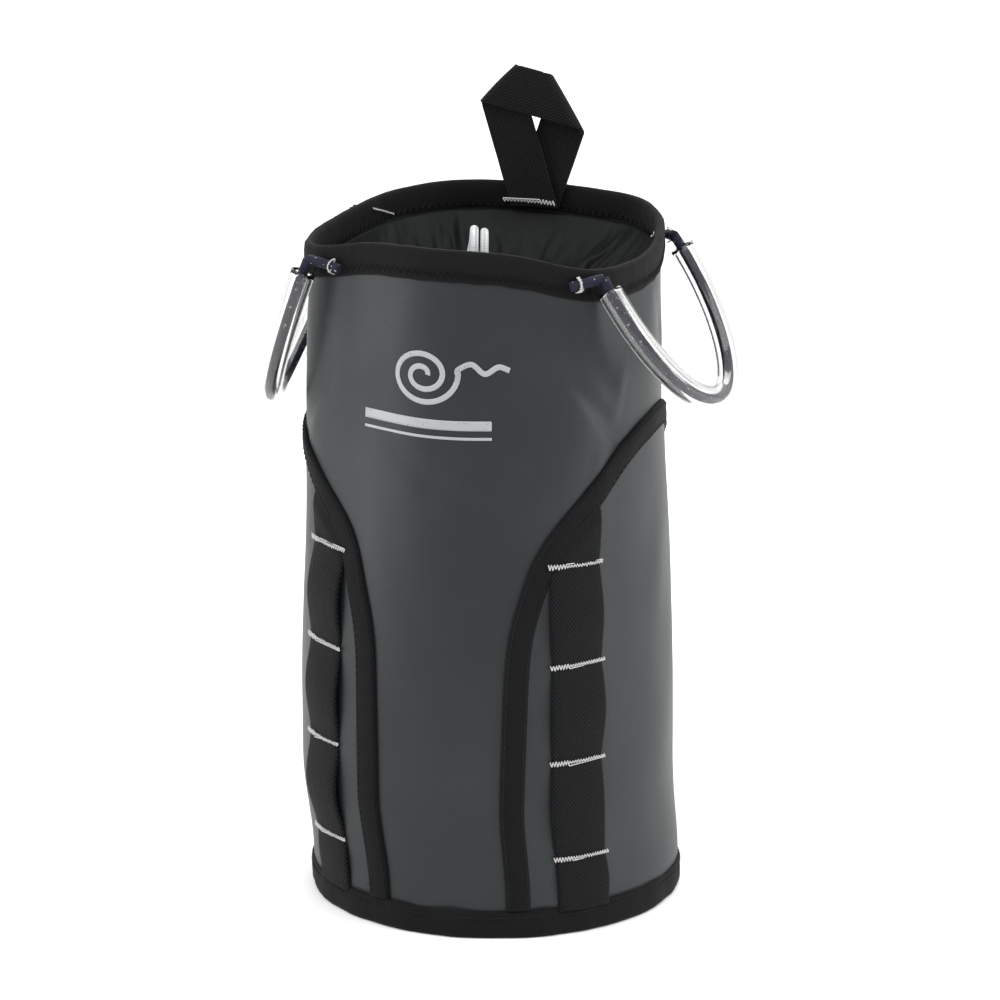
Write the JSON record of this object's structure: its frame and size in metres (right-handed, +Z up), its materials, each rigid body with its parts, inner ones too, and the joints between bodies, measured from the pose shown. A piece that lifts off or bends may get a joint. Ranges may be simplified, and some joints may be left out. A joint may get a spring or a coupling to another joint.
{
  "type": "rope storage bag",
  "caption": "Round-based tarpaulin rope bag with a rounded square mouth, drawcord skirt, two tube-covered gear loops, folded webbing haul handle and side daisy chains.",
  "frame": {"origin": "on the ground under the middle of the whole bag's box, gear loops included; the bag's own round base is centred 3.3 mm towards -X of it", "axes": "+Z up from the base to the mouth, -Y towards the front panel between the two daisy chains, +X to the right as seen from the front, across the gear loops"},
  "size_m": [0.2082, 0.1601, 0.3469],
  "materials": {
    "tarpaulin": "charcoal coated tarpaulin, satin, faint weave",
    "binding_tape": "near-black woven binding tape with zigzag stitching",
    "webbing": "near-black flat nylon webbing",
    "thread": "light grey bar-tack thread",
    "clear_tube": "clear flexible plastic tube, glossy",
    "loop_cord": "dark navy braided cord with pale flecks",
    "skirt_nylon": "thin dark coated nylon, slightly shiny",
    "drawcord": "light grey braided cord",
    "lock_plastic": "black moulded plastic",
    "spring_steel": "bright spring wire"
  },
  "bodies": {
    "root": {"outer_shell": "tarpaulin", "side_panel_left": "tarpaulin", "side_panel_right": "tarpaulin", "base_disc": "tarpaulin", "rim_binding": "binding_tape", "base_binding": "binding_tape", "back_seam_tape": "binding_tape", "panel_binding_left": "binding_tape", "panel_binding_right": "binding_tape", "daisy_webbing_left": "webbing", "daisy_webbing_right": "webbing", "haul_handle_anchor": "webbing", "haul_handle_tack": "thread", "closure_skirt": "skirt_nylon", "daisy_tack_left_1": "thread", "daisy_tack_left_2": "thread", "daisy_tack_left_3": "thread", "daisy_tack_left_4": "thread", "daisy_tack_right_1": "thread", "daisy_tack_right_2": "thread", "daisy_tack_right_3": "thread", "daisy_tack_right_4": "thread", "gear_loop_tack_left_front": "thread", "gear_loop_tack_left_back": "thread", "gear_loop_tack_right_front": "thread", "gear_loop_tack_right_back": "thread", "gear_loop_cord_end_left_front": "loop_cord", "gear_loop_cord_end_left_back": "loop_cord", "gear_loop_cord_end_right_front": "loop_cord", "gear_loop_cord_end_right_back": "loop_cord"},
    "gear_loop_right": {"gear_loop_tube_right": "clear_tube", "gear_loop_cord_right": "loop_cord"},
    "gear_loop_left": {"gear_loop_tube_left": "clear_tube", "gear_loop_cord_left": "loop_cord"},
    "haul_handle": {"haul_handle": "webbing"},
    "closure": {"closure_hem": "skirt_nylon", "drawcord_1": "drawcord", "drawcord_2": "drawcord", "drawcord_knot": "drawcord"},
    "cord_lock": {"cord_lock_body": "lock_plastic", "cord_lock_spring": "spring_steel"},
    "lock_plunger": {"cord_lock_plunger": "lock_plastic"}
  },
  "joints": [
    {"name": "gear_loop_right_swing", "type": "hinge", "parent": "root", "child": "gear_loop_right", "pos_m": [0.06136, -0.04805, 0.2872], "axis": [-0.0242, -0.9993, 0.0286], "range_deg": [-15, 120]},
    {"name": "gear_loop_left_swing", "type": "hinge", "parent": "root", "child": "gear_loop_left", "pos_m": [-0.06727, -0.05565, 0.2861], "axis": [-0.1437, 0.9896, -0.0067], "range_deg": [-4, 130]},
    {"name": "haul_handle_flex", "type": "hinge", "parent": "root", "child": "haul_handle", "pos_m": [-0.01318, 0.07303, 0.29748], "axis": [0.9962, 0.0872, 0], "range_deg": [-80, 55]},
    {"name": "closure_lift", "type": "slide", "parent": "root", "child": "closure", "axis": [0, 0, 1], "range_m": [0, 0.08], "deforming": ["closure_skirt"]},
    {"name": "cord_lock_slide", "type": "slide", "parent": "closure", "child": "cord_lock", "axis": [0, 0, 1], "range_m": [-0.003, 0.01]},
    {"name": "plunger_press", "type": "slide", "parent": "cord_lock", "child": "lock_plunger", "axis": [-0.3355, 0.9421, 0], "range_m": [0, 0.003], "stiffness_N_per_m": 300, "springref_m": -0.008, "deforming": ["cord_lock_spring"]}
  ]
}
